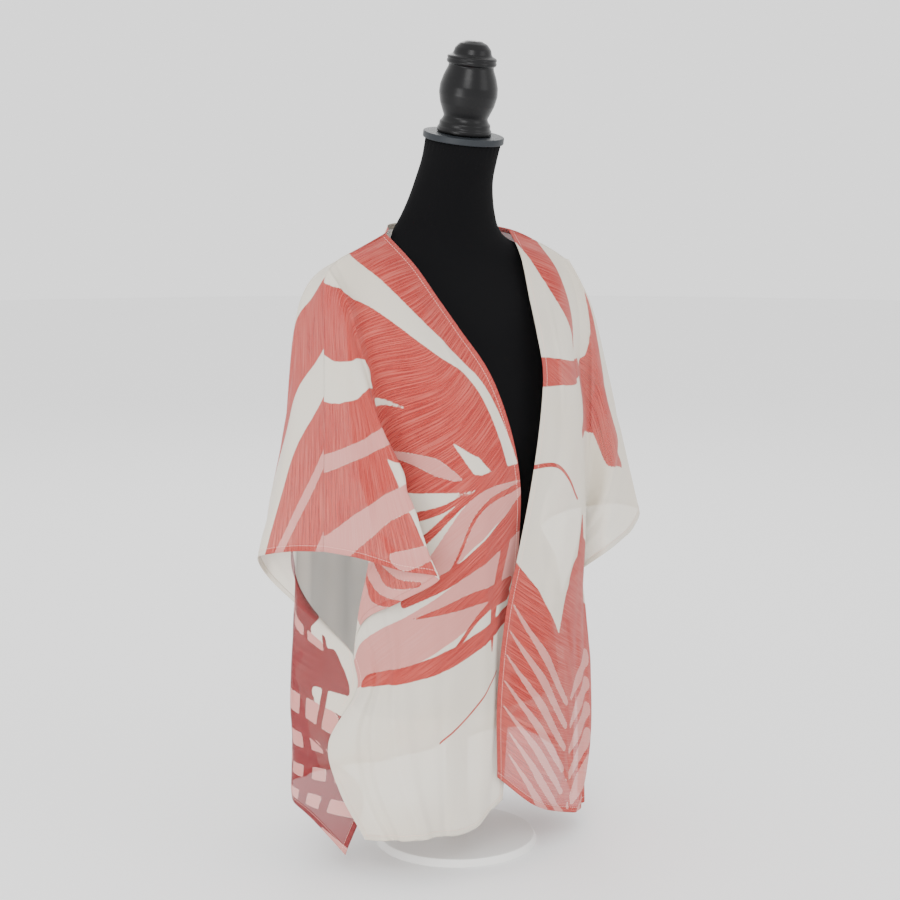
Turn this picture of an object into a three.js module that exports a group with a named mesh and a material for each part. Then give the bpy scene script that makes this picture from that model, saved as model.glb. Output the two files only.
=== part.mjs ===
// Open-front kimono on a limbless dress form.
// Millimetres, +Z up. The front faces -Y, the wearer's left is +X, the base stands on Z = 0.
import * as THREE from "three";

// Cloth
const clothWall = 1.6;
const seamGap = 0.3;
const seamSlack = 0.5; // the two edges follow one curve in steps of different lengths
const seamStep = clothWall + seamGap + seamSlack; // between the middles of two walls that meet edge to edge
const clothAcross = 26; // faces from the opening edge to the cuff
const clothDown = 28; // faces from the shoulder to the hem
const backAcross = 23; // faces from the middle of the back to the cuff, on each side

// Dress form
const hemLift = 45; // the tables give heights above a level this far over the floor
const formSides = 36;
const capRadius = 50;
const capHeight = 8;
const capLift = 857;
const poleRadius = 14;
const baseRadius = 105;
const baseHeight = 10;
const poleSides = 24;
const baseSides = 48;
const baseBevel = 4; // the plate is this much smaller round its top
const knobRise = 0.8; // the knob's top is this much higher in its middle
const pieceGap = 0.3;

// Each row is one thread of the weft, from the opening edge to the cuff or side edge.
// Every point is [outwards from the middle, forwards, up].
const rightFrontRows = [
  { // 0 mm down the cloth
    edge: [97, -18, 745], chest: [142, -8, 729], pit: [180, -4, 714],
    crest: [198, -1, 696], sleeve: [208, 10, 590], side: [221, 24, 371] },
  { // 45 mm down the cloth
    edge: [85, 28, 706], chest: [130, 32, 696], pit: [174, 22, 672],
    crest: [191, 30, 662], sleeve: [198, 46, 550], side: [196, 62, 366] },
  { // 90 mm down the cloth
    edge: [73, 56, 669], chest: [118, 66, 648], pit: [170, 38, 630],
    crest: [187, 46, 616], sleeve: [180, 74, 500], side: [165, 104, 354] },
  { // 135 mm down the cloth
    edge: [58, 80, 632], chest: [106, 90, 596], pit: [162, 48, 578],
    crest: [176, 64, 552], sleeve: [156, 100, 452], side: [134, 138, 347] },
  { // 200 mm down the cloth
    edge: [37, 110, 582], chest: [88, 114, 532], pit: [150, 66, 482],
    crest: [167, 60, 448], sleeve: [163, 72, 385], side: [157, 90, 312] },
  { // 260 mm down the cloth
    edge: [21, 130, 517], chest: [74, 128, 462], pit: [142, 76, 402],
    crest: [166, 50, 368], sleeve: [170, 38, 330], side: [170, 32, 278] },
  { // 320 mm down the cloth
    edge: [6, 132, 448], chest: [66, 130, 394], pit: [136, 84, 324],
    crest: [160, 50, 292], sleeve: [170, 24, 262], side: [171, 14, 232] },
  { // 400 mm down the cloth
    edge: [-2, 121, 368], chest: [60, 122, 316], pit: [132, 88, 252],
    crest: [158, 62, 226], sleeve: [168, 42, 210], side: [173, 24, 195] },
  { // 480 mm down the cloth
    edge: [-4, 109, 285], chest: [58, 114, 236], pit: [134, 88, 184],
    crest: [168, 62, 160], sleeve: [190, 34, 140], side: [205, 6, 124] },
  { // 600 mm down the cloth
    edge: [-6, 99, 170], chest: [56, 108, 128], pit: [130, 94, 98],
    crest: [166, 72, 84], sleeve: [188, 44, 76], side: [199, 20, 68] },
  { // 720 mm down the cloth
    edge: [3, 98, 36], chest: [66, 106, 9], pit: [118, 104, 14],
    crest: [148, 92, 12], sleeve: [168, 72, 11], side: [178, 45, 7] },
];

const leftFrontRows = [
  { // 0 mm down the cloth
    edge: [97, -18, 745], chest: [140, -8, 727], pit: [174, -4, 709],
    crest: [190, -3, 696], sleeve: [232, -3, 560], side: [276, -2, 369] },
  { // 45 mm down the cloth
    edge: [83, 24, 714], chest: [130, 32, 695], pit: [174, 24, 672],
    crest: [190, 28, 662], sleeve: [236, 32, 520], side: [283, 36, 365] },
  { // 90 mm down the cloth
    edge: [72, 56, 660], chest: [116, 66, 645], pit: [166, 46, 626],
    crest: [184, 50, 608], sleeve: [216, 62, 480], side: [250, 60, 347] },
  { // 135 mm down the cloth
    edge: [60, 84, 622], chest: [104, 92, 600], pit: [158, 56, 572],
    crest: [174, 70, 550], sleeve: [192, 84, 440], side: [214, 76, 338] },
  { // 200 mm down the cloth
    edge: [50, 108, 580], chest: [96, 112, 540], pit: [150, 74, 496],
    crest: [164, 74, 450], sleeve: [166, 92, 386], side: [166, 98, 331] },
  { // 260 mm down the cloth
    edge: [31, 128, 531], chest: [84, 128, 476], pit: [146, 76, 418],
    crest: [158, 66, 380], sleeve: [156, 62, 340], side: [152, 60, 300] },
  { // 320 mm down the cloth
    edge: [8, 139, 450], chest: [72, 134, 400], pit: [144, 80, 345],
    crest: [156, 52, 316], sleeve: [162, 34, 290], side: [166, 16, 262] },
  { // 400 mm down the cloth
    edge: [-8, 134, 365], chest: [62, 131, 316], pit: [142, 80, 262],
    crest: [160, 58, 240], sleeve: [168, 40, 222], side: [174, 20, 204] },
  { // 480 mm down the cloth
    edge: [-20, 124, 285], chest: [56, 126, 232], pit: [144, 80, 184],
    crest: [168, 58, 166], sleeve: [186, 34, 150], side: [198, 6, 138] },
  { // 600 mm down the cloth
    edge: [-23, 111, 172], chest: [52, 118, 122], pit: [144, 80, 86],
    crest: [170, 58, 74], sleeve: [188, 36, 66], side: [200, 12, 60] },
  { // 720 mm down the cloth
    edge: [-18, 106, 70], chest: [40, 110, 22], pit: [104, 98, -4],
    crest: [140, 84, -12], sleeve: [166, 64, -12], side: [186, 28, -12] },
];

const rightBackRows = [
  { // 0 mm down the cloth
    middle: [0, -84, 754], nape: [48, -75, 753], blade: [97, -18, 745],
    pit: [180, -4, 714], fold: [208, 10, 590], side: [221, 24, 371] },
  { // 45 mm down the cloth
    middle: [0, -102, 718], nape: [48, -93, 717], blade: [92, -64, 709],
    pit: [195, -42, 686], fold: [211, -37, 576], side: [243, -12, 368] },
  { // 90 mm down the cloth
    middle: [0, -112, 672], nape: [48, -107, 672], blade: [90, -90, 666],
    pit: [194, -62, 648], fold: [214, -60, 520], side: [263, -40, 362] },
  { // 135 mm down the cloth
    middle: [0, -120, 626], nape: [48, -117, 625], blade: [90, -108, 618],
    pit: [182, -78, 590], fold: [214, -86, 460], side: [246, -84, 346] },
  { // 200 mm down the cloth
    middle: [0, -124, 560], nape: [48, -123, 557], blade: [92, -117, 547],
    pit: [178, -86, 508], fold: [208, -98, 400], side: [218, -104, 316] },
  { // 260 mm down the cloth
    middle: [0, -124, 500], nape: [48, -123, 494], blade: [92, -118, 482],
    pit: [176, -88, 432], fold: [200, -80, 340], side: [196, -56, 278] },
  { // 320 mm down the cloth
    middle: [0, -120, 440], nape: [48, -119, 432], blade: [94, -114, 415],
    pit: [180, -88, 362], fold: [208, -50, 300], side: [171, 14, 232] },
  { // 400 mm down the cloth
    middle: [0, -116, 360], nape: [48, -116, 350], blade: [96, -112, 330],
    pit: [182, -90, 285], fold: [212, -50, 240], side: [173, 24, 195] },
  { // 480 mm down the cloth
    middle: [0, -116, 280], nape: [48, -116, 268], blade: [98, -112, 250],
    pit: [184, -94, 215], fold: [214, -50, 175], side: [205, 6, 124] },
  { // 600 mm down the cloth
    middle: [0, -118, 160], nape: [50, -118, 153], blade: [100, -116, 142],
    pit: [184, -100, 122], fold: [212, -52, 96], side: [170, 30, 58] },
  { // 720 mm down the cloth
    middle: [0, -122, 36], nape: [50, -122, 38], blade: [102, -120, 40],
    pit: [182, -106, 48], fold: [212, -60, 42], side: [188, 16, -19] },
];

// The left half of the back differs from the right one at its shoulder, sleeve and side.
const leftBackSides = [
  { pit: [174, -4, 709], fold: [232, -3, 560], side: [276, -2, 369] },
  { pit: [180, -42, 674], fold: [224, -42, 545], side: [272, -44, 360] },
  { pit: [182, -62, 640], fold: [216, -66, 500], side: [252, -76, 350] },
  { pit: [180, -78, 588], fold: [210, -86, 450], side: [234, -96, 336] },
  { pit: [178, -86, 508], fold: [204, -92, 396], side: [212, -98, 314] },
  { pit: [176, -88, 432], fold: [196, -76, 344], side: [190, -52, 288] },
  { pit: [180, -88, 362], fold: [200, -50, 306], side: [166, 16, 262] },
  { pit: [182, -90, 285], fold: [204, -50, 244], side: [174, 20, 204] },
  { pit: [184, -94, 215], fold: [206, -50, 178], side: [198, 6, 138] },
  { pit: [184, -100, 122], fold: [206, -56, 92], side: [184, 20, 56] },
  { pit: [182, -106, 48], fold: [206, -60, 30], side: [190, 12, -20] },
];
const leftBackRows = rightBackRows.map((row, index) => ({ ...row, ...leftBackSides[index] }));

// The tables' columns, in their order across the cloth.
const frontColumns = ["edge", "chest", "pit", "crest", "sleeve", "side"];
const backColumns = ["middle", "nape", "blade", "pit", "fold", "side"];

// The side seam joins front and back between these rows.
const seamTopRow = 6;
const seamEndRow = 8;

// Out of the back's columns, the first on the shoulder. The front has one column more after it and after the next.
const bladeColumn = 2;

// Soft creases in the cloth: where they lie across and down (0 to 1), how far they reach and how deep they are.
const creaseFadeIn = 0.25;
const creaseFadeOut = 0.1;
const frontCreases = [
  { across: 0.3, slant: 0.1, top: 0.3, end: 1.0, width: 0.07, depth: 5 },
  { across: 0.52, slant: -0.1, top: 0.55, end: 1.05, width: 0.06, depth: 7 },
  { across: 0.72, slant: -0.06, top: 0.6, end: 1.1, width: 0.05, depth: -6 },
  { across: 0.78, slant: 0.02, top: 0.05, end: 0.5, width: 0.05, depth: 5 },
];
const backCreases = [
  { across: 0.12, slant: 0.04, top: 0.3, end: 1.1, width: 0.06, depth: 6 },
  { across: 0.34, slant: -0.02, top: 0.25, end: 1.1, width: 0.06, depth: -7 },
  { across: 0.55, slant: 0.05, top: 0.35, end: 1.1, width: 0.05, depth: 7 },
  { across: 0.83, slant: 0.0, top: 0.5, end: 1.05, width: 0.05, depth: -9 },
];

// Level sections of the form, from its lower edge to the top of its neck. tilt is the slope towards the front.
const formSections = [
  { height: 150, halfWidth: 146, front: 84, back: 94, lean: 0, tilt: 0 },
  { height: 156, halfWidth: 150, front: 88, back: 98, lean: 0, tilt: 0 },
  { height: 195, halfWidth: 150, front: 90, back: 98, lean: 0, tilt: 0 },
  { height: 250, halfWidth: 139, front: 86, back: 90, lean: 0, tilt: 0 },
  { height: 300, halfWidth: 125, front: 79, back: 80, lean: 0, tilt: 0 },
  { height: 345, halfWidth: 118, front: 77, back: 76, lean: 0, tilt: 0 },
  { height: 395, halfWidth: 124, front: 88, back: 80, lean: 0, tilt: 0 },
  { height: 445, halfWidth: 138, front: 106, back: 90, lean: 0, tilt: 0 },
  { height: 490, halfWidth: 146, front: 112, back: 98, lean: 0, tilt: 0 },
  { height: 540, halfWidth: 150, front: 100, back: 102, lean: 0, tilt: 0 },
  { height: 590, halfWidth: 152, front: 80, back: 100, lean: 0, tilt: 0 },
  { height: 635, halfWidth: 158, front: 62, back: 90, lean: 0, tilt: 0 },
  { height: 672, halfWidth: 170, front: 44, back: 76, lean: -2, tilt: 0 },
  { height: 692, halfWidth: 176, front: 34, back: 60, lean: -5, tilt: 0 },
  { height: 704, halfWidth: 165, front: 28, back: 50, lean: -6, tilt: 0 },
  { height: 714, halfWidth: 140, front: 26, back: 50, lean: -7, tilt: 0 },
  { height: 724, halfWidth: 111, front: 30, back: 44, lean: -12, tilt: 0 },
  { height: 734, halfWidth: 90, front: 36, back: 34, lean: -18, tilt: 0 },
  { height: 748, halfWidth: 78, front: 44, back: 30, lean: -24, tilt: 0 },
  { height: 765, halfWidth: 68, front: 44, back: 34, lean: -20, tilt: 0 },
  { height: 784, halfWidth: 59, front: 44, back: 40, lean: -14, tilt: 0 },
  { height: 808, halfWidth: 51, front: 44, back: 44, lean: -6, tilt: 0.04 },
  { height: 835, halfWidth: 47, front: 45, back: 45, lean: 5, tilt: 0.1 },
  { height: 856.7, halfWidth: 47, front: 46, back: 46, lean: 12, tilt: 0.18 },
];

// Outline of the turned knob above the cap: radius and height.
const knobOutline = [
  [33.5, 0], [33.5, 6], [31.5, 8], [31.5, 13], [29, 15.5], [27, 20], [29.5, 26], [33.5, 36], [36, 48],
  [35.5, 58], [32.5, 69], [28, 80], [27.5, 83], [30, 84.5], [30.8, 87], [29.6, 89.2], [30.6, 91],
  [29.6, 93.4], [25.5, 95], [23.6, 97], [22, 103], [17, 109], [9, 112.4],
];

function place(side, point) {
  const [outwards, forwards, up] = point;
  return new THREE.Vector3(side * outwards, -forwards, up + hemLift);
}

// A smooth curve through one named column of a table, from the shoulder to the hem.
function columnCurve(rows, column, side) {
  const points = rows.map((row) => place(side, row[column]));
  return new THREE.CatmullRomCurve3(points, false, "centripetal");
}

function smooth(edge0, edge1, value) {
  const part = THREE.MathUtils.clamp((value - edge0) / (edge1 - edge0), 0, 1);
  return part * part * (3 - 2 * part);
}

// Depth of all creases at one place of a panel.
function creaseDepth(creases, across, down) {
  let depth = 0;
  for (const crease of creases) {
    const middle = crease.across + crease.slant * (down - 0.5);
    const begun = smooth(crease.top, crease.top + creaseFadeIn, down);
    const ended = smooth(crease.end - creaseFadeOut, crease.end, down);
    const reach = begun * (1 - ended);
    depth += crease.depth * reach * Math.exp(-(((across - middle) / crease.width) ** 2));
  }
  return depth;
}

// Middle surface of a front panel, as a net of points: net[down][across].
function frontNet(rows, side) {
  const curves = frontColumns.map((column) => columnCurve(rows, column, side));
  const net = [];
  for (let i = 0; i <= clothDown; i += 1) {
    const points = curves.map((curve) => curve.getPoint(i / clothDown));
    const thread = new THREE.CatmullRomCurve3(points, false, "centripetal");
    net.push(thread.getPoints(clothAcross));
  }
  return pushCreases(net, frontCreases, side);
}

// Half of the back panel. It shares the front's shoulder line, and its side between the seam's two ends.
function backNet(rows, frontRows, side) {
  const curves = backColumns.map((column) => columnCurve(rows, column, side));
  const seamCurve = columnCurve(frontRows, "side", side);
  const seamTop = seamTopRow / (rows.length - 1);
  const seamEnd = seamEndRow / (rows.length - 1);
  const net = [shoulderThread(rows[0], frontRows[0], side)];
  for (let i = 1; i <= clothDown; i += 1) {
    const down = i / clothDown;
    const points = curves.map((curve) => curve.getPoint(down));
    if (down >= seamTop && down <= seamEnd) points[points.length - 1] = seamCurve.getPoint(down);
    const thread = new THREE.CatmullRomCurve3(points, false, "centripetal");
    net.push(thread.getPoints(backAcross));
  }
  return pushCreases(net, backCreases, side);
}

// The back's first thread: from the back neck along the front's shoulder line to the cuff.
function shoulderThread(backRow, frontRow, side) {
  const line = [backRow.middle, backRow.nape, ...frontColumns.map((column) => frontRow[column])];
  const points = line.map((point) => place(side, point));
  const thread = new THREE.CatmullRomCurve3(points, false, "centripetal");
  const spans = points.length - 1;
  const result = [];
  for (let j = 0; j <= backAcross; j += 1) {
    const across = (j / backAcross) * (backColumns.length - 1);
    const extraColumns = THREE.MathUtils.clamp(across - bladeColumn, 0, 2);
    result.push(thread.getPoint((across + extraColumns) / spans));
  }
  return result;
}

// Unit normals of a net, from the two directions at each point.
function netNormals(net) {
  const lastRow = net.length - 1;
  const lastColumn = net[0].length - 1;
  return net.map((line, i) => line.map((_, j) => {
    const downwards = net[Math.min(i + 1, lastRow)][j].clone().sub(net[Math.max(i - 1, 0)][j]);
    const acrosswards = net[i][Math.min(j + 1, lastColumn)].clone().sub(net[i][Math.max(j - 1, 0)]);
    return downwards.cross(acrosswards).normalize();
  }));
}

function pushCreases(net, creases, side) {
  const normals = netNormals(net);
  return net.map((line, i) => line.map((point, j) => {
    const depth = creaseDepth(creases, j / (line.length - 1), i / (net.length - 1));
    return point.clone().addScaledVector(normals[i][j], side * depth);
  }));
}

// Closed wall of even thickness around a net.
function wallGeometry(net) {
  const normals = netNormals(net);
  const rowCount = net.length;
  const columnCount = net[0].length;
  const positions = [];
  for (const half of [clothWall / 2, -clothWall / 2]) {
    for (let i = 0; i < rowCount; i += 1) {
      for (let j = 0; j < columnCount; j += 1) {
        const point = net[i][j].clone().addScaledVector(normals[i][j], half);
        positions.push(point.x, point.y, point.z);
      }
    }
  }
  const layer = rowCount * columnCount;
  const at = (i, j, below) => below * layer + i * columnCount + j;
  const faces = [];
  for (let i = 0; i < rowCount - 1; i += 1) {
    for (let j = 0; j < columnCount - 1; j += 1) {
      faces.push(at(i, j, 0), at(i + 1, j, 0), at(i + 1, j + 1, 0));
      faces.push(at(i, j, 0), at(i + 1, j + 1, 0), at(i, j + 1, 0));
      faces.push(at(i, j, 1), at(i + 1, j + 1, 1), at(i + 1, j, 1));
      faces.push(at(i, j, 1), at(i, j + 1, 1), at(i + 1, j + 1, 1));
    }
  }
  const rim = [];
  for (let j = 0; j < columnCount - 1; j += 1) rim.push([0, j]);
  for (let i = 0; i < rowCount - 1; i += 1) rim.push([i, columnCount - 1]);
  for (let j = columnCount - 1; j > 0; j -= 1) rim.push([rowCount - 1, j]);
  for (let i = rowCount - 1; i > 0; i -= 1) rim.push([i, 0]);
  rim.forEach(([i, j], index) => {
    const [nextI, nextJ] = rim[(index + 1) % rim.length];
    faces.push(at(i, j, 0), at(nextI, nextJ, 0), at(nextI, nextJ, 1));
    faces.push(at(i, j, 0), at(nextI, nextJ, 1), at(i, j, 1));
  });
  return outwardGeometry(positions, faces);
}

// Indexed geometry whose faces point out, turned round if the list makes a negative volume.
function outwardGeometry(positions, faces) {
  const corner = (index) => new THREE.Vector3().fromArray(positions, 3 * index);
  let volume = 0;
  for (let k = 0; k < faces.length; k += 3) {
    volume += corner(faces[k]).dot(corner(faces[k + 1]).cross(corner(faces[k + 2])));
  }
  const ordered = volume > 0 ? faces : [...faces].reverse();
  const geometry = new THREE.BufferGeometry();
  geometry.setAttribute("position", new THREE.Float32BufferAttribute(positions, 3));
  geometry.setIndex(ordered);
  geometry.computeVertexNormals();
  return geometry;
}

// Closed body through level rings, flat at both ends.
function loftGeometry(sections) {
  const positions = [];
  const faces = [];
  sections.forEach((section) => {
    for (let k = 0; k < formSides; k += 1) {
      const angle = (2 * Math.PI * k) / formSides;
      const depth = Math.sin(angle) > 0 ? section.back : section.front;
      const y = depth * Math.sin(angle);
      const height = section.height + section.tilt * y + hemLift;
      positions.push(section.halfWidth * Math.cos(angle), y - section.lean, height);
    }
  });
  const ring = (i, k) => i * formSides + (k % formSides);
  for (let i = 0; i < sections.length - 1; i += 1) {
    for (let k = 0; k < formSides; k += 1) {
      faces.push(ring(i, k), ring(i, k + 1), ring(i + 1, k + 1));
      faces.push(ring(i, k), ring(i + 1, k + 1), ring(i + 1, k));
    }
  }
  const last = sections.length - 1;
  const ends = [sections[0], sections[last]];
  ends.forEach((section, top) => {
    const centre = positions.length / 3;
    positions.push(0, -section.lean, section.height + hemLift);
    for (let k = 0; k < formSides; k += 1) {
      const here = ring(top ? last : 0, k);
      const next = ring(top ? last : 0, k + 1);
      faces.push(...(top ? [centre, here, next] : [centre, next, here]));
    }
  });
  return outwardGeometry(positions, faces);
}

// Turned body about the vertical axis, closed at both ends.
function latheGeometry(outline) {
  const top = outline[outline.length - 1][1] + knobRise;
  const points = [new THREE.Vector2(0, outline[0][1])];
  for (const [radius, height] of outline) points.push(new THREE.Vector2(radius, height));
  points.push(new THREE.Vector2(0, top));
  const geometry = new THREE.LatheGeometry(points, formSides);
  geometry.rotateX(Math.PI / 2);
  return geometry;
}

const material = (color, roughness, metalness = 0) =>
  new THREE.MeshStandardMaterial({ color, roughness, metalness });
const finishes = {
  cloth: material(0xd8958c, 0.9),
  jersey: material(0x121214, 0.95),
  cap: material(0x2c3034, 0.45, 0.3),
  knob: material(0x0e0e10, 0.22),
  stand: material(0xdedad4, 0.5),
};

const kimono = new THREE.Group();

function add(name, geometry, finish) {
  const mesh = new THREE.Mesh(geometry, finish);
  mesh.name = name;
  kimono.add(mesh);
  return mesh;
}

function addCloth() {
  const right = frontNet(rightFrontRows, -1);
  const left = frontNet(leftFrontRows, 1);
  const backRight = backNet(rightBackRows, rightFrontRows, -1);
  const backLeft = backNet(leftBackRows, leftFrontRows, 1);
  const back = backRight.map((line, i) => [...line].reverse().concat(backLeft[i].slice(1)));
  add("front_right", wallGeometry(shortenAtSeams(right)), finishes.cloth);
  add("front_left", wallGeometry(shortenAtSeams(left)), finishes.cloth);
  add("back", wallGeometry(back), finishes.cloth);
}

// A front panel stops one seam step short of the back, at the shoulder and along the side seam.
function shortenAtSeams(net) {
  const last = net[0].length - 1;
  const trimmed = net.map((line) => line.map((point) => point.clone()));
  trimmed[0].forEach((point, j) => {
    const inwards = net[1][j].clone().sub(point).normalize();
    point.addScaledVector(inwards, seamStep);
  });
  for (let i = 1; i < net.length; i += 1) {
    const inwards = net[i][last - 1].clone().sub(net[i][last]).normalize();
    trimmed[i][last].addScaledVector(inwards, seamStep);
  }
  return trimmed;
}

function addForm() {
  add("form_torso", loftGeometry(formSections), finishes.jersey);
  const neckTop = formSections[formSections.length - 1];
  const head = new THREE.Group();
  head.position.set(0, -neckTop.lean, capLift + hemLift);
  head.rotation.x = Math.atan(neckTop.tilt);
  kimono.add(head);
  const cap = new THREE.CylinderGeometry(capRadius, capRadius, capHeight, formSides);
  cap.rotateX(Math.PI / 2);
  const capMesh = new THREE.Mesh(cap, finishes.cap);
  capMesh.name = "neck_cap";
  capMesh.position.z = capHeight / 2;
  const knobMesh = new THREE.Mesh(latheGeometry(knobOutline), finishes.knob);
  knobMesh.name = "knob";
  knobMesh.position.z = capHeight + pieceGap;
  head.add(capMesh, knobMesh);
}

function addStand() {
  const poleBottom = baseHeight + pieceGap;
  const poleTop = formSections[0].height + hemLift - pieceGap;
  const pole = new THREE.CylinderGeometry(poleRadius, poleRadius, poleTop - poleBottom, poleSides);
  pole.rotateX(Math.PI / 2);
  add("pole", pole, finishes.stand).position.z = (poleBottom + poleTop) / 2;
  const base = new THREE.CylinderGeometry(baseRadius - baseBevel, baseRadius, baseHeight, baseSides);
  base.rotateX(Math.PI / 2);
  add("base", base, finishes.stand).position.z = baseHeight / 2;
}

addCloth();
addForm();
addStand();

export default kimono;
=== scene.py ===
import math
import bpy
import numpy as np
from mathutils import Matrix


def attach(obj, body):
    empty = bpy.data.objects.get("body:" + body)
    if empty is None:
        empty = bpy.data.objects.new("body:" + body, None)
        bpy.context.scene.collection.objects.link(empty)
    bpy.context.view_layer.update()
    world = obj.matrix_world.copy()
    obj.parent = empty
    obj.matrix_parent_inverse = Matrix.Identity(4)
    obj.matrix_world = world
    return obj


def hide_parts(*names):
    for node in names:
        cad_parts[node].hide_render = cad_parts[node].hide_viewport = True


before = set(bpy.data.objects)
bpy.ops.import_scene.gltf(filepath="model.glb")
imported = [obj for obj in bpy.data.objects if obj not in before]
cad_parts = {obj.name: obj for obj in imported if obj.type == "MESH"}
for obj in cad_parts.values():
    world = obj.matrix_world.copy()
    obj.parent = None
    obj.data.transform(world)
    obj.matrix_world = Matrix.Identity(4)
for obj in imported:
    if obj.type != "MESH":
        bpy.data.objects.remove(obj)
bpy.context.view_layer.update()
mm = 0.001

# Garment tables, in millimetres: (outwards from the middle, forwards, up) for each thread of the weft.
# down is the cloth length from the shoulder line.
down = [0, 45, 90, 135, 200, 260, 320, 400, 480, 600, 720]

rightFront = {
    "edge": [(97, -18, 745), (85, 28, 706), (73, 56, 669), (58, 80, 632), (37, 110, 582), (21, 130, 517),
        (6, 132, 448), (-2, 121, 368), (-4, 109, 285), (-6, 99, 170), (3, 98, 36)],
    "chest": [(142, -8, 729), (130, 32, 696), (118, 66, 648), (106, 90, 596), (88, 114, 532),
        (74, 128, 462), (66, 130, 394), (60, 122, 316), (58, 114, 236), (56, 108, 128), (66, 106, 9)],
    "pit": [(180, -4, 714), (174, 22, 672), (170, 38, 630), (162, 48, 578), (150, 66, 482),
        (142, 76, 402), (136, 84, 324), (132, 88, 252), (134, 88, 184), (130, 94, 98), (118, 104, 14)],
    "crest": [(198, -1, 696), (191, 30, 662), (187, 46, 616), (176, 64, 552), (167, 60, 448),
        (166, 50, 368), (160, 50, 292), (158, 62, 226), (168, 62, 160), (166, 72, 84), (148, 92, 12)],
    "sleeve": [(208, 10, 590), (198, 46, 550), (180, 74, 500), (156, 100, 452), (163, 72, 385),
        (170, 38, 330), (170, 24, 262), (168, 42, 210), (190, 34, 140), (188, 44, 76), (168, 72, 11)],
    "side": [(221, 24, 371), (196, 62, 366), (165, 104, 354), (134, 138, 347), (157, 90, 312),
        (170, 32, 278), (171, 14, 232), (173, 24, 195), (205, 6, 124), (199, 20, 68), (178, 45, 7)],
}

leftFront = {
    "edge": [(97, -18, 745), (83, 24, 714), (72, 56, 660), (60, 84, 622), (50, 108, 580), (31, 128, 531),
        (8, 139, 450), (-8, 134, 365), (-20, 124, 285), (-23, 111, 172), (-18, 106, 70)],
    "chest": [(140, -8, 727), (130, 32, 695), (116, 66, 645), (104, 92, 600), (96, 112, 540),
        (84, 128, 476), (72, 134, 400), (62, 131, 316), (56, 126, 232), (52, 118, 122), (40, 110, 22)],
    "pit": [(174, -4, 709), (174, 24, 672), (166, 46, 626), (158, 56, 572), (150, 74, 496),
        (146, 76, 418), (144, 80, 345), (142, 80, 262), (144, 80, 184), (144, 80, 86), (104, 98, -4)],
    "crest": [(190, -3, 696), (190, 28, 662), (184, 50, 608), (174, 70, 550), (164, 74, 450),
        (158, 66, 380), (156, 52, 316), (160, 58, 240), (168, 58, 166), (170, 58, 74), (140, 84, -12)],
    "sleeve": [(232, -3, 560), (236, 32, 520), (216, 62, 480), (192, 84, 440), (166, 92, 386),
        (156, 62, 340), (162, 34, 290), (168, 40, 222), (186, 34, 150), (188, 36, 66), (166, 64, -12)],
    "side": [(276, -2, 369), (283, 36, 365), (250, 60, 347), (214, 76, 338), (166, 98, 331),
        (152, 60, 300), (166, 16, 262), (174, 20, 204), (198, 6, 138), (200, 12, 60), (186, 28, -12)],
}

rightBack = {
    "middle": [(0, -84, 754), (0, -102, 718), (0, -112, 672), (0, -120, 626), (0, -124, 560),
        (0, -124, 500), (0, -120, 440), (0, -116, 360), (0, -116, 280), (0, -118, 160), (0, -122, 36)],
    "nape": [(48, -75, 753), (48, -93, 717), (48, -107, 672), (48, -117, 625), (48, -123, 557),
        (48, -123, 494), (48, -119, 432), (48, -116, 350), (48, -116, 268), (50, -118, 153),
        (50, -122, 38)],
    "blade": [(97, -18, 745), (92, -64, 709), (90, -90, 666), (90, -108, 618), (92, -117, 547),
        (92, -118, 482), (94, -114, 415), (96, -112, 330), (98, -112, 250), (100, -116, 142),
        (102, -120, 40)],
    "pit": [(180, -4, 714), (195, -42, 686), (194, -62, 648), (182, -78, 590), (178, -86, 508),
        (176, -88, 432), (180, -88, 362), (182, -90, 285), (184, -94, 215), (184, -100, 122),
        (182, -106, 48)],
    "fold": [(208, 10, 590), (211, -37, 576), (214, -60, 520), (214, -86, 460), (208, -98, 400),
        (200, -80, 340), (208, -50, 300), (212, -50, 240), (214, -50, 175), (212, -52, 96), (212, -60, 42)
        ],
    "side": [(221, 24, 371), (243, -12, 368), (263, -40, 362), (246, -84, 346), (218, -104, 316),
        (196, -56, 278), (171, 14, 232), (173, 24, 195), (205, 6, 124), (170, 30, 58), (188, 16, -19)],
}

leftBackSides = {
    "pit": [(174, -4, 709), (180, -42, 674), (182, -62, 640), (180, -78, 588), (178, -86, 508),
        (176, -88, 432), (180, -88, 362), (182, -90, 285), (184, -94, 215), (184, -100, 122),
        (182, -106, 48)],
    "fold": [(232, -3, 560), (224, -42, 545), (216, -66, 500), (210, -86, 450), (204, -92, 396),
        (196, -76, 344), (200, -50, 306), (204, -50, 244), (206, -50, 178), (206, -56, 92), (206, -60, 30)
        ],
    "side": [(276, -2, 369), (272, -44, 360), (252, -76, 350), (234, -96, 336), (212, -98, 314),
        (190, -52, 288), (166, 16, 262), (174, 20, 204), (198, 6, 138), (184, 20, 56), (190, 12, -20)],
}

leftBack = {**rightBack, **leftBackSides}

cloth = {
    "thickness": 0.0005,  # metres
    "lift": 45,  # the tables' level 0 lies this far over the floor, in millimetres
    "frontFaces": (200, 210),  # across, down
    "backFaces": (120, 185),  # the same, for each half
    "seamRows": (6, 8),  # the side seam runs between these rows
    "seamGap": 0.00015,  # metres between front and back
    "shoulderEase": 0.6,  # rows over which the back leaves the shoulder line
    "neckPart": 0.2,  # half of the neck edge, out of the whole shoulder line
    "neckHalf": 0.118,  # metres of cloth from the middle of the back to the chart's zero
    "hemStart": 0.004,  # the cuff hem leaves out this part of the edge, at the shoulder
}

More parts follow.
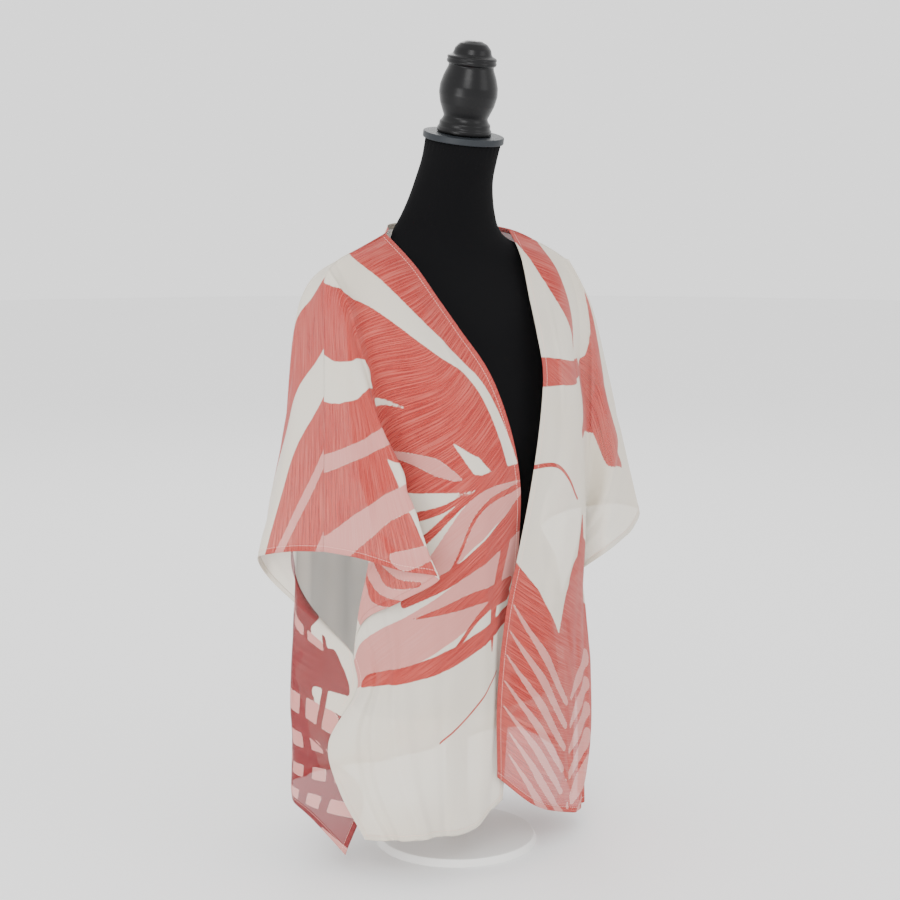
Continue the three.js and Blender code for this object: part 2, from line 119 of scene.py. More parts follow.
# Soft creases: the middle across (0 to 1), slant, start and end down the cloth (0 to 1), width across
# (0 to 1) and depth in millimetres.
frontCreases = [
    (0.30, 0.10, 0.30, 1.00, 0.070, 5.0),
    (0.52, -0.10, 0.55, 1.05, 0.060, 7.0),
    (0.72, -0.06, 0.60, 1.10, 0.050, -6.0),
    (0.78, 0.02, 0.05, 0.50, 0.050, 5.0),
]
backCreases = [
    (0.12, 0.04, 0.30, 1.10, 0.060, 6.0),
    (0.34, -0.02, 0.25, 1.10, 0.060, -7.0),
    (0.55, 0.05, 0.35, 1.10, 0.050, 7.0),
    (0.83, 0.00, 0.50, 1.05, 0.050, -9.0),
]


def smoothThrough(points, at):
    # Centripetal Catmull-Rom curve through the first axis of points, read at positions from 0 to 1.
    first = 2 * points[0] - points[1]
    last = 2 * points[-1] - points[-2]
    p = np.concatenate([first[None], points, last[None]])
    spans = len(points) - 1
    k = np.clip((at * spans).astype(int), 0, spans - 1)
    w = (at * spans - k).reshape((-1,) + (1,) * (points.ndim - 1))
    a, b, c, d = p[k], p[k + 1], p[k + 2], p[k + 3]
    ab, bc, cd = [np.sqrt(np.linalg.norm(q - r, axis=-1, keepdims=True) + 1e-9)
                  for q, r in ((b, a), (c, b), (d, c))]
    slopeB = ((b - a) / ab - (c - a) / (ab + bc) + (c - b) / bc) * bc
    slopeC = ((c - b) / bc - (d - b) / (bc + cd) + (d - c) / cd) * bc
    return ((2 * w**3 - 3 * w**2 + 1) * b + (w**3 - 2 * w**2 + w) * slopeB
            + (-2 * w**3 + 3 * w**2) * c + (w**3 - w**2) * slopeC)


def smoothStep(low, high, value):
    # Rises from 0 at low to 1 at high, level at both ends.
    t = np.clip((value - low) / (high - low), 0, 1)
    return t * t * (3 - 2 * t)


def tableArray(table, names, side):
    # Rows by columns by XYZ, in metres, for one side of the garment.
    points = np.array([table[name] for name in names], float).transpose(1, 0, 2)
    return np.stack([side * points[..., 0], -points[..., 1], points[..., 2] + cloth["lift"]], axis=-1) * mm


def evenSteps(lengths, count):
    # Positions from 0 to 1 along a row of spans, spaced evenly by length.
    ends = np.concatenate([[0], np.cumsum(lengths)]) / np.sum(lengths)
    return np.interp(np.linspace(0, 1, count + 1), ends, np.linspace(0, 1, len(ends)))


def netNormals(net):
    # Cross product of the two directions of the net at each point.
    normals = np.cross(np.gradient(net, axis=0), np.gradient(net, axis=1))
    return normals / (np.linalg.norm(normals, axis=-1, keepdims=True) + 1e-12)


def creaseField(creases, across, downPart):
    # Sum of soft ridges: depth times a bell across each slanted line times a fade along it, in over a
    # quarter of the cloth's length and out over a tenth.
    field = np.zeros_like(across)
    for middle, slant, top, end, width, depth in creases:
        offset = across - middle - slant * (downPart - 0.5)
        reach = smoothStep(top, top + 0.25, downPart) * (1 - smoothStep(end - 0.1, end, downPart))
        field += depth * mm * reach * np.exp(-((offset / width) ** 2))
    return field


def panelNet(table, names, side, faces, creases, fineCreases, seamTable=None, shoulder=None):
    # Threads through the named columns, each column a curve down the cloth, plus the creases along the
    # normals. Returns the net, and how far down the cloth each point lies, from 0 to 1.
    points = tableArray(table, names, side)
    spans = np.linalg.norm(np.diff(points, axis=1), axis=-1).mean(axis=0)
    across = evenSteps(spans, faces[0])
    downAt = evenSteps(np.diff(down), faces[1])
    columns = smoothThrough(points, downAt)
    rows = len(down) - 1
    if seamTable is not None:
        top, end = [row / rows for row in cloth["seamRows"]]
        seam = smoothThrough(tableArray(seamTable, ["side"], side), downAt)
        onSeam = (downAt >= top) & (downAt <= end)
        columns[onSeam, -1] = seam[onSeam, 0]
    net = smoothThrough(columns.transpose(1, 0, 2), across).transpose(1, 0, 2)
    if shoulder is not None:
        # The first thread follows the front's shoulder line, and the next ones ease into their own. The
        # back's third and fourth spans each cover two of the line's seven.
        line = smoothThrough(shoulder, (across * 5 + np.clip(across * 5 - 2, 0, 2)) / 7)
        ease = np.exp(-((downAt * rows / cloth["shoulderEase"]) ** 2))[:, None, None]
        net = net + ease * (line - net[0])
    acrossGrid, downGrid = np.meshgrid(across, downAt)
    field = creaseField(creases + fineCreases, acrossGrid, downGrid)
    net = net + side * field[..., None] * netNormals(net)
    return net, downGrid


def addObject(name, data):
    # A new object in the scene for a mesh, a lamp or a camera.
    piece = bpy.data.objects.new(name, data)
    bpy.context.scene.collection.objects.link(piece)
    return piece


def addMesh(name, points, faces, smooth=True, crisp=None):
    # The faces are a list of arrays. smooth is one value, or one for each face. Edges sharper than crisp
    # degrees stay sharp.
    mesh = bpy.data.meshes.new(name)
    mesh.from_pydata(points.reshape(-1, 3).tolist(), [], [face for part in faces for face in part.tolist()])
    mesh.polygons.foreach_set("use_smooth", np.broadcast_to(smooth, len(mesh.polygons)).astype(bool))
    if crisp:
        mesh.set_sharp_from_angle(angle=math.radians(crisp))
    mesh.update()
    return addObject(name, mesh)


def setUv(piece, uv):
    # One place per vertex, carried to every corner of the faces around it.
    mesh = piece.data
    corners = np.zeros(len(mesh.loops), int)
    mesh.loops.foreach_get("vertex_index", corners)
    layer = mesh.uv_layers.new(name="cloth")
    layer.data.foreach_set("uv", uv[corners].astype(np.float32).ravel())


def setField(piece, name, values):
    # One number per vertex, read by the material under its name.
    attribute = piece.data.attributes.new(name, "FLOAT", "POINT")
    attribute.data.foreach_set("value", values.astype(np.float32))


def gridQuads(rows, columns, start=0):
    # Four-sided faces of a grid of vertices that is numbered row by row.
    corner = start + np.arange(rows - 1)[:, None] * columns + np.arange(columns - 1)[None, :]
    return np.stack([corner, corner + columns, corner + columns + 1, corner + 1], -1).reshape(-1, 4)


def rimLoop(rows, columns):
    # Vertex numbers once round the edge of a grid.
    top = np.arange(columns - 1)
    right = np.arange(rows - 1) * columns + columns - 1
    bottom = (rows - 1) * columns + np.arange(columns - 1, 0, -1)
    left = np.arange(rows - 1, 0, -1) * columns
    return np.concatenate([top, right, bottom, left])


def wallMesh(name, net, outwards, halfThickness):
    # Two copies of the net, each moved half a thickness along the outward directions, closed round the rim.
    rows, columns = net.shape[:2]
    points = np.concatenate([(net + outwards * halfThickness).reshape(-1, 3),
                             (net - outwards * halfThickness).reshape(-1, 3)])
    layer = rows * columns
    rim = rimLoop(rows, columns)
    after = np.roll(rim, -1)
    edge = np.stack([rim, after, after + layer, rim + layer], -1)
    faces = np.concatenate([gridQuads(rows, columns), gridQuads(rows, columns, layer)[:, ::-1], edge])
    if (netNormals(net) * outwards).sum() < 0:
        faces = faces[:, ::-1]
    return addMesh(name, points, [faces])


def curveLine(points):
    # A smooth curve through points in millimetres, as short straight parts. Returns their ends, in metres,
    # and how far along the curve each lies, from 0 to 1.
    path = np.array(points, float) * mm
    steps = np.linspace(0, 1, 8 * (len(path) - 1) + 1)
    return smoothThrough(np.column_stack([path, np.zeros(len(path))]), steps)[:, :2], steps


def nearestOn(a, step, x, y):
    # How far along one straight part the nearest point lies, from 0 to 1, and the distance to it.
    along = np.clip(((x - a[0]) * step[0] + (y - a[1]) * step[1]) / max((step**2).sum(), 1e-12), 0, 1)
    return along, np.hypot(x - a[0] - along * step[0], y - a[1] - along * step[1])


def bladeField(blade, x, y):
    # Half width at the nearest point of the blade's middle line, less the distance to that line.
    line, steps = curveLine(blade["path"])
    width = np.interp(steps, np.linspace(0, 1, len(blade["half"])), np.array(blade["half"], float) * mm)
    best = np.full(x.shape, -1.0)
    for k in range(len(line) - 1):
        along, gap = nearestOn(line[k], line[k + 1] - line[k], x, y)
        best = np.maximum(best, width[k] + along * (width[k + 1] - width[k]) - gap)
    return best


def paintFields(blades, x, y, under=None):
    # Each blade in turn covers what is under it. A field is above 0 where its colour shows. The cream ground
    # is seen where all of them are below 0.
    fields = under or {tint: np.full(x.shape, -0.05) for tint in ("pink", "coral", "wine")}
    for blade in blades:
        shape = bladeField(blade, x, y)
        for tint, field in fields.items():
            fields[tint] = np.maximum(field, shape) if tint == blade["tint"] else np.minimum(field, -shape)
    return fields


def veinField(vein, x, y):
    # Signed distance to the vein's middle line, and how far inside its reach a place is.
    line, _ = curveLine(vein["path"])
    nearest = np.full(x.shape, 1.0)
    signed = np.full(x.shape, 1.0)
    for k in range(len(line) - 1):
        a, step = line[k], line[k + 1] - line[k]
        _, gap = nearestOn(a, step, x, y)
        side = np.sign(step[0] * (y - a[1]) - step[1] * (x - a[0]))
        closer = gap < nearest
        signed = np.where(closer, side * gap, signed)
        nearest = np.where(closer, gap, nearest)
    ends = np.minimum(np.hypot(x - line[0][0], y - line[0][1]), np.hypot(x - line[-1][0], y - line[-1][1]))
    reach, outside = 0.03, 0.05
    inside = np.maximum(reach - nearest, -outside) - np.where(ends <= nearest + 1e-6, outside, 0)
    return signed, inside


def blade(tint, path, half):
    # A leaf or a part of one: its colour, the points of its middle line, and the half width at each of them.
    return {"tint": tint, "path": path, "half": half}


def frond(tint, rib, pairs, length, angle, half):
    # Leaflets in pairs along a rib. Each leaves it at the angle and bends back a little. Their lengths follow
    # a sine along the rib, longest near its middle.
    at = np.linspace(0.06, 0.94, pairs)
    path = np.column_stack([np.array(rib, float), np.zeros(len(rib))])
    root = smoothThrough(path, at)[:, :2]
    ahead = smoothThrough(path, np.minimum(at + 0.03, 1))[:, :2] - root
    ahead /= np.linalg.norm(ahead, axis=1, keepdims=True)
    aside = ahead[:, ::-1] * (1, -1)
    blades = [blade(tint, rib, [half * 0.4] * len(rib))]
    for k, share in enumerate(at):
        reach = length * math.sin(math.pi * (0.2 + 0.7 * share))
        for side in (-1, 1):
            bends = [(0, 0), (0.5, angle * 1.2), (1, angle)]
            points = [root[k] + reach * part * (math.cos(turn) * ahead[k] + side * math.sin(turn) * aside[k])
                      for part, turn in bends]
            blades.append(blade(tint, [tuple(point) for point in points], [half * 0.35, half, 0.4]))
    return blades


# Leaf pattern, in millimetres of cloth: out from the opening edge, and down from the shoulder line.
# On the back, the second number is below 0. Each leaf is a simple curve of a few points in round numbers.
rightLeaves = [
    blade("pink", [(330, 360), (170, 390), (-10, 400)], [30, 36, 40]),
    blade("coral", [(-60, 20), (-60, 100), (70, 60)], [200, 205, 200]),
    blade("coral", [(120, -60), (290, -20), (480, 0)], [120, 130, 140]),
    blade("cream", [(60, -150), (100, -30), (70, 60), (30, 170), (10, 300)], [30, 31, 17, 5, 9]),
    blade("cream", [(150, 120), (220, 30), (290, -100), (480, -165)], [14, 20, 44, 54]),
    blade("pink", [(220, 130), (300, 40), (410, -70)], [8, 7, 8]),
    blade("pink", [(280, 150), (350, 75), (450, 0)], [12, 11, 14]),
    blade("pink", [(400, 90), (360, 140)], [10, 6]),
    blade("pink", [(400, 165), (320, 225), (260, 290)], [26, 36, 26]),
    *[blade("coral", [(250, 265 - 25 * n), (310, 235 - 25 * n), (360, 190 - 20 * n)], [2, 6, 2])
      for n in range(3)],
    blade("cream", [(150, 152), (124, 168)], [3.4, 1]),
    blade("pink", [(160, 200), (120, 230), (90, 260)], [3, 8, 1]),
    blade("cream", [(90, 220), (70, 254), (50, 276)], [1, 8, 1]),
    blade("pink", [(150, 320), (80, 306), (-5, 330)], [18, 28, 16]),
    blade("coral", [(140, 240), (70, 268), (-5, 310)], [2.5, 2.5, 6]),
    blade("coral", [(170, 260), (120, 270), (80, 268)], [5, 3.5, 1]),
    blade("coral", [(160, 286), (80, 278), (-5, 316)], [5, 3, 4]),
    blade("coral", [(130, 335), (80, 300), (-5, 325)], [3, 3, 3.5]),
    blade("coral", [(200, 330), (110, 348), (-10, 360)], [9, 12, 24]),
    blade("coral", [(190, 360), (110, 392), (20, 436)], [1, 8, 9]),
    blade("coral", [(270, 400), (140, 450), (20, 474)], [9, 13, 10]),
    blade("coral", [(130, 450), (70, 430), (20, 450)], [3, 6, 6]),
    blade("coral", [(30, 370), (50, 430), (50, 500)], [11, 8, 1]),
    # The back
    blade("wine", [(180, -300), (180, -500), (130, -760)], [40, 84, 120]),
    blade("cream", [(210, -346), (240, -312), (270, -270)], [15, 25, 34]),
    blade("cream", [(290, -420), (206, -440)], [13, 9]),
    blade("pink", [(120, -352), (210, -362)], [8, 8]),
    *[blade("pink", [(90, -486 - 70 * n), (160, -476 - 68 * n), (235, -455 - 62 * n)], [12, 15, 11])
      for n in range(4)],
    blade("pink", [(100, -740), (250, -712)], [8, 8]),
    *[blade("wine", [(126 + 30 * n, -340), (122 + 30 * n, -520), (90 + 30 * n, -730)], [3, 6, 6])
      for n in range(4)],
    blade("wine", [(130, -500), (235, -536)], [4, 3]),
]
rightVein = {"path": [(36, 538), (80, 556), (136, 570)], "half": 1.7}
leftLeaves = [
    blade("coral", [(0, 470), (40, 500), (150, 520), (150, 620), (150, 760)], [60, 120, 190, 260, 300]),
    blade("cream", [(60, 180), (60, 340), (65, 390), (100, 462)], [150, 60, 44, 1]),
    blade("cream", [(-40, 370), (65, 390)], [34, 44]),
    blade("cream", [(150, 60), (190, 200), (230, 330)], [60, 70, 60]),
    blade("coral", [(150, 480), (142, 370), (125, 310)], [34, 20, 2]),
    blade("coral", [(-20, 218), (40, 176), (106, 145)], [20, 17, 11]),
    blade("coral", [(0, -30), (42, 50), (86, 126)], [30, 21, 4]),
    blade("coral", [(120, 50), (156, 145), (115, 230)], [3, 34, 1]),
    blade("coral", [(150, 150), (220, 142), (300, 105)], [36, 27, 2]),
    # A feathered leaf: slanted leaflets on both sides of a rib
    *[blade("pink", [(10 + 12 * (n > 3), 500 + 34 * n), (80, 540 + 34 * n), (134, 586 + 34 * n)], [1, 8, 5])
      for n in range(-1, 6)],
    *[blade("pink", [(208, 470 + 42 * n), (178, 504 + 42 * n), (148, 544 + 42 * n)], [11, 10, 3])
      for n in range(6)],
    blade("coral", [(138, 500), (154, 730)], [2, 3]),
    # The back
    blade("coral", [(262, 56), (296, 10), (334, -50), (366, -106), (386, -160)], [1, 16, 24, 18, 1]),
    blade("cream", [(302, 4), (336, -52), (364, -100)], [0.4, 2.2, 0.6]),
    *frond("wine", [(236, -350), (190, -460), (150, -590), (130, -730)], 7, 150, 0.75, 15),
]
leftVein = {"path": [(-6, 312), (50, 290), (102, 300)], "half": 1.8}
# The middle of the back: the first number is the distance from its middle, towards the left.
middleLeaves = [
    blade("cream", [(0, -16), (0, -120), (0, -330)], [86, 110, 190]),
    blade("cream", [(-60, -200), (-150, -250), (-210, -300)], [80, 60, 30]),
    *frond("coral", [(96, 10), (88, -80), (60, -170), (14, -250), (-60, -330)], 9, 130, 0.62, 14),
    *frond("pink", [(20, -740), (40, -640), (70, -540), (130, -440)], 7, 110, 0.7, 11),
]


def weaveMaterial():
    # Leaf colours over cream where the fields are above 0, with streaked yarn, and a weave in the bump.
    material = bpy.data.materials.new("wovenCloth")
    material.use_nodes = True
    nodes, links = material.node_tree.nodes, material.node_tree.links
    shader = nodes["Principled BSDF"]
    shader.inputs["Roughness"].default_value = 0.85
    shader.inputs["Specular IOR Level"].default_value = 0.25
    shader.inputs["Sheen Weight"].default_value = 0.15
    shader.inputs["Alpha"].default_value = 0.62

    def stretchedNoise(scale, detail=2.0):
        # Noise in the chart, with its own scale across and down the cloth.
        place = nodes.new("ShaderNodeUVMap")
        place.uv_map = "cloth"
        mapping = nodes.new("ShaderNodeMapping")
        mapping.inputs["Scale"].default_value = (scale[0], scale[1], 1)
        noise = nodes.new("ShaderNodeTexNoise")
        noise.inputs["Scale"].default_value = 1
        noise.inputs["Detail"].default_value = detail
        links.new(place.outputs["UV"], mapping.inputs["Vector"])
        links.new(mapping.outputs["Vector"], noise.inputs["Vector"])
        return noise.outputs["Fac"]

    def remap(value, low, high, toLow, toHigh, curve="SMOOTHSTEP"):
        # The first range carried onto the second one.
        node = nodes.new("ShaderNodeMapRange")
        node.interpolation_type = curve
        for slot, number in zip(("From Min", "From Max", "To Min", "To Max"), (low, high, toLow, toHigh)):
            node.inputs[slot].default_value = number
        links.new(value, node.inputs["Value"])
        return node.outputs["Result"]

    def combine(kind, a, b):
        # One step of arithmetic on two values, each of them a number or a socket.
        node = nodes.new("ShaderNodeMath")
        node.operation = kind
        for slot, value in enumerate((a, b)):
            if isinstance(value, (int, float)):
                node.inputs[slot].default_value = value
            else:
                links.new(value, node.inputs[slot])
        return node.outputs["Value"]

    def mix(amount, a, b):
        # Two colours, with the amount of the second one.
        node = nodes.new("ShaderNodeMix")
        node.data_type = "RGBA"
        if isinstance(amount, (int, float)):
            node.inputs["Factor"].default_value = amount
        else:
            links.new(amount, node.inputs["Factor"])
        for slot, value in ((6, a), (7, b)):
            if isinstance(value, tuple):
                node.inputs[slot].default_value = value
            else:
                links.new(value, node.inputs[slot])
        return node.outputs[2]

    def attribute(name):
        node = nodes.new("ShaderNodeAttribute")
        node.attribute_name = name
        return node.outputs["Fac"]

    # Yarn: long thin streaks along the weft, and a slower change of shade. Leaf edges are ragged by one or
    # two threads.
    yarn = stretchedNoise((14, 1000))
    slub = stretchedNoise((30, 160))
    wide = stretchedNoise((6, 9), 1.0)
    ragged = remap(stretchedNoise((500, 900), 1.0), 0.3, 0.7, -0.0005, 0.0005, "LINEAR")

    def shows(name):
        # 1 inside the leaves of one colour and 0 outside, with a ragged edge.
        return remap(combine("ADD", attribute(name), ragged), -0.0004, 0.0004, 0, 1)

    streak = remap(yarn, 0.42, 0.66, 0, 1)
    coral = mix(streak, (0.47, 0.034, 0.026, 1), (0.64, 0.13, 0.10, 1))
    coral = mix(remap(slub, 0.45, 0.75, 0, 0.4), coral, (0.39, 0.022, 0.020, 1))
    wine = mix(streak, (0.20, 0.006, 0.010, 1), (0.33, 0.030, 0.035, 1))
    pink = mix(remap(yarn, 0.35, 0.7, 0, 0.5), (0.72, 0.28, 0.245, 1), (0.78, 0.39, 0.355, 1))
    thread = remap(stretchedNoise((700, 1300), 1.0), 0.3, 0.7, 0, 0.22, "LINEAR")
    cream = mix(remap(wide, 0.3, 0.7, 0, 1), (0.83, 0.76, 0.64, 1), (0.84, 0.79, 0.69, 1))
    colour = mix(shows("pink"), cream, pink)
    colour = mix(shows("coral"), colour, coral)
    colour = mix(shows("wine"), colour, wine)
    veinWide = combine("SUBTRACT", attribute("veinHalf"), combine("ABSOLUTE", attribute("vein"), 0))
    onVein = combine("MULTIPLY", remap(veinWide, -0.0003, 0.0003, 0, 1),
                     remap(attribute("veinReach"), 0, 0.001, 0, 1))
    colour = mix(onVein, colour, coral)
    colour = mix(thread, colour, mix(0.5, colour, (0.30, 0.26, 0.24, 1)))
    links.new(colour, shader.inputs["Base Color"])
    weave = combine("ADD", stretchedNoise((900, 900)), combine("MULTIPLY", yarn, 0.6))
    bump = nodes.new("ShaderNodeBump")
    bump.inputs["Strength"].default_value = 0.25
    bump.inputs["Distance"].default_value = 0.0006
    links.new(weave, bump.inputs["Height"])
    links.new(bump.outputs["Normal"], shader.inputs["Normal"])
    return material


def plainMaterial(name, colour, roughness, **sockets):
    # One colour and roughness, and further sockets by their names.
    material = bpy.data.materials.new(name)
    material.use_nodes = True
    shader = material.node_tree.nodes["Principled BSDF"]
    shader.inputs["Base Color"].default_value = (*colour, 1)
    shader.inputs["Roughness"].default_value = roughness
    for label, value in sockets.items():
        shader.inputs[label.replace("_", " ")].default_value = value
    return material


def grain(material, scale, strength, distance):
    # Fine bump from a noise in object space.
    nodes, links = material.node_tree.nodes, material.node_tree.links
    place = nodes.new("ShaderNodeTexCoord")
    mapping = nodes.new("ShaderNodeMapping")
    mapping.inputs["Scale"].default_value = scale
    noise = nodes.new("ShaderNodeTexNoise")
    noise.inputs["Scale"].default_value = 1
    bump = nodes.new("ShaderNodeBump")
    bump.inputs["Strength"].default_value = strength
    bump.inputs["Distance"].default_value = distance
    links.new(place.outputs["Object"], mapping.inputs["Vector"])
    links.new(mapping.outputs["Vector"], noise.inputs["Vector"])
    links.new(noise.outputs["Fac"], bump.inputs["Height"])
    links.new(bump.outputs["Normal"], nodes["Principled BSDF"].inputs["Normal"])
    return material


def keep(piece, material, slot, *nodes):
    # The piece's material and body, and the solids that it takes the place of. The slot is not used.
    piece.data.materials.append(material)
    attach(piece, "root")
    if nodes:
        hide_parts(*nodes)
    return piece


frontNames = ["edge", "chest", "pit", "crest", "sleeve", "side"]
backNames = ["middle", "nape", "blade", "pit", "fold", "side"]
frontFine = [
    (0.30, 0.00, 0.10, 0.50, 0.022, -3.2),
    (0.40, 0.00, -0.10, 0.36, 0.024, -1.8),
    (0.53, 0.00, -0.20, 0.45, 0.020, 2.6),
    (0.47, 0.10, 0.30, 0.80, 0.024, -2.4),
    (0.07, 0.10, 0.12, 1.05, 0.030, 1.2),
    (0.19, -0.08, 0.45, 1.10, 0.030, 2.0),
    (0.42, 0.05, 0.62, 1.10, 0.032, 2.6),
    (0.62, 0.08, 0.60, 1.10, 0.030, 2.2),
    (0.87, 0.05, 0.04, 0.55, 0.028, 1.8),
    (0.94, -0.04, 0.08, 0.50, 0.026, -1.4),
    (0.12, 0.02, 0.05, 0.50, 0.015, 1.5),
    (0.55, -0.12, 0.45, 1.05, 0.024, 2.6),
    (0.72, 0.06, 0.50, 1.10, 0.022, -2.4),
    (0.30, 0.05, 0.55, 1.10, 0.020, -2.0),
    (0.09, -0.04, 0.62, 1.10, 0.022, -1.8),
    (0.80, -0.06, 0.02, 0.50, 0.018, -2.2),
]
backFine = [
    (0.05, 0.05, 0.45, 1.10, 0.030, 2.4),
    (0.22, -0.04, 0.40, 1.10, 0.034, 2.8),
    (0.45, 0.06, 0.50, 1.10, 0.030, -2.2),
    (0.68, 0.03, 0.30, 1.10, 0.028, 2.4),
    (0.93, 0.02, 0.05, 0.50, 0.026, 1.6),
    (0.12, -0.05, 0.30, 0.90, 0.022, -2.0),
    (0.58, -0.05, 0.45, 1.10, 0.022, 2.4),
    (0.33, 0.05, 0.15, 0.70, 0.020, 1.8),
    (0.80, 0.05, 0.50, 1.10, 0.022, -2.0),
    (0.74, 0.04, 0.02, 0.45, 0.020, 2.0),
]


def chartPlace(net, downGrid, back, middle=0):
    # Chart of the cloth, in metres: arc length along each thread, and length down the cloth.
    arc = np.cumsum(np.linalg.norm(np.diff(net, axis=1, prepend=net[:, :1]), axis=-1), axis=1)
    arc = np.abs(arc - arc[:, middle : middle + 1])
    length = np.interp(downGrid, np.linspace(0, 1, len(down)), np.array(down) * mm)
    return (arc - cloth["neckHalf"], -length) if back else (arc, length)


def dress(piece, x, y, middle, charts):
    # charts is a list of (where, leaves, vein): each paints the vertices of its own side of the garment.
    # middle is the distance from the middle of the back, or nothing on a front. Both faces of the shell get
    # the same values.
    names = ("pink", "coral", "wine", "vein", "veinReach", "veinHalf")
    fields = {name: np.zeros(x.shape) for name in names}
    for where, leaves, vein in charts:
        painted = paintFields(leaves, x[where], y[where])
        if middle is not None:
            painted = paintFields(middleLeaves, middle[where], y[where], painted)
        painted["vein"], painted["veinReach"] = veinField(vein, x[where], y[where])
        painted["veinHalf"] = np.full(painted["vein"].shape, vein["half"] * mm)
        for name in names:
            fields[name][where] = painted[name]
    for name in names:
        setField(piece, name, np.tile(fields[name].ravel(), 2))
    setUv(piece, np.tile(np.stack([x, y], -1).reshape(-1, 2), (2, 1)))


def edgeBand(layers, edge, width, steps, first, last):
    # A strip of the net along one edge, read at even distances inwards. The mean width of the first six cells
    # gives the place of each distance.
    lines = {"start": layers, "end": layers[:, ::-1], "top": layers.transpose(1, 0, 2),
             "bottom": layers[::-1].transpose(1, 0, 2)}[edge]
    count = len(lines)
    lines = lines[int(first * (count - 1)) : int(round(last * (count - 1))) + 1]
    cells = np.linalg.norm(np.diff(lines[:, :7, :3], axis=1), axis=-1).mean(axis=1)
    inwards = np.linspace(0, width, steps)[None, :] / cells[:, None]
    low = np.clip(inwards.astype(int), 0, lines.shape[1] - 2)
    part = (inwards - low)[..., None]
    row = np.arange(len(lines))[:, None]
    return lines[row, low] * (1 - part) + lines[row, low + 1] * part


def stitchMesh(name, line, outwards, length, gap, radius):
    # Spindles in a row along a line, each as long as a stitch, with a gap between them.
    arc = np.concatenate([[0], np.cumsum(np.linalg.norm(np.diff(line, axis=0), axis=1))])
    count = int(arc[-1] / (length + gap))
    at = (np.arange(count) + 0.5) * (arc[-1] / count)

    def sample(values, where):
        return np.stack([np.interp(where, arc, values[:, k]) for k in range(3)], -1)

    centre = sample(line, at)
    along = sample(line, at + length / 2) - sample(line, at - length / 2)
    along /= np.linalg.norm(along, axis=1, keepdims=True)
    up = sample(outwards, at)
    up -= along * (up * along).sum(axis=1, keepdims=True)
    up /= np.linalg.norm(up, axis=1, keepdims=True)
    aside = np.cross(along, up)
    corners = np.array([(-0.5, 0, 0), (-0.3, 1, 0), (-0.3, 0, 1), (-0.3, -1, 0), (-0.3, 0, -1),
                        (0.3, 1, 0), (0.3, 0, 1), (0.3, -1, 0), (0.3, 0, -1), (0.5, 0, 0)])
    points = (centre[:, None] + corners[None, :, :1] * length * along[:, None]
              + corners[None, :, 1:2] * radius * up[:, None] + corners[None, :, 2:] * radius * aside[:, None])
    turns = np.arange(4)
    after = (turns + 1) % 4
    quads = np.stack([1 + turns, 1 + after, 5 + after, 5 + turns], -1)
    starts = np.stack([np.zeros(4, int), 1 + after, 1 + turns], -1)
    ends = np.stack([np.full(4, 9), 5 + turns, 5 + after], -1)
    block = (np.arange(count) * len(corners))[:, None, None]
    middles = (quads[None] + block).reshape(-1, 4)
    tips = (np.concatenate([starts, ends])[None] + block).reshape(-1, 3)
    return addMesh(name, points, [middles, tips], smooth=False)


hem = {  # metres
    "width": 0.008,
    "half": 0.00022,
    "drop": 0.00055,  # middle of the turned layer under the middle of the cloth
    "stitch": (0.0024, 0.0009, 0.00028),  # length, gap, radius
    "stitchIn": 0.0070,
    "apart": 0.0002,  # every second hem lies this much lower
}


def hemEdges(name, net, outwards, x, y, middle, edges, charts):
    # The turned hem under each free edge, and its line of stitches on the outer side. An edge is its name,
    # where it starts and ends, from 0 to 1, and the number of its chart.
    made = []
    places = [x, y] if middle is None else [x, y, middle]
    layers = np.concatenate([net, outwards, np.stack(places, -1)], -1)
    for number, (edge, first, last, chart) in enumerate(edges):
        band = edgeBand(layers, edge, hem["width"], 5, first, last)
        away = band[..., 3:6] / np.linalg.norm(band[..., 3:6], axis=-1, keepdims=True)
        drop = hem["drop"] + hem["apart"] * (number % 2)
        strip = wallMesh(f"{name}Hem{number}", band[..., :3] - away * drop, away, hem["half"])
        everywhere = np.ones(band.shape[:2], bool)
        fromMiddle = None if middle is None else band[..., 8]
        dress(strip, band[..., 6], band[..., 7], fromMiddle, [(everywhere, *charts[chart])])
        made.append(keep(strip, clothMaterial, "cloth"))
        seam = edgeBand(layers, edge, hem["stitchIn"], 2, first, last)[:, 1]
        line = seam[:, :3] + seam[:, 3:6] * cloth["thickness"] * 0.6
        stitches = stitchMesh(f"{name}Stitches{number}", line, seam[:, 3:6], *hem["stitch"])
        made.append(keep(stitches, threadMaterial, "cloth"))
    return made


def joinBack(right, left):
    # Both halves read from the right cuff to the left one, with the middle thread once.
    return np.concatenate([right[:, ::-1], left[:, 1:]], axis=1)


clothMaterial = weaveMaterial()
threadMaterial = plainMaterial("sewingThread", (0.80, 0.52, 0.46), 0.7)
rightChart = (rightLeaves, rightVein)
leftChart = (leftLeaves, leftVein)
seamTop, seamEnd = [row / (len(down) - 1) for row in cloth["seamRows"]]


def shortened(net, gap):
    # The front stops a hair short of the back at the shoulder and along its side.
    trimmed = net.copy()
    inShoulder = net[1] - net[0]
    inSide = net[:, -2] - net[:, -1]
    trimmed[0] += inShoulder / np.linalg.norm(inShoulder, axis=-1, keepdims=True) * gap
    trimmed[:, -1] += inSide / np.linalg.norm(inSide, axis=-1, keepdims=True) * gap
    return trimmed


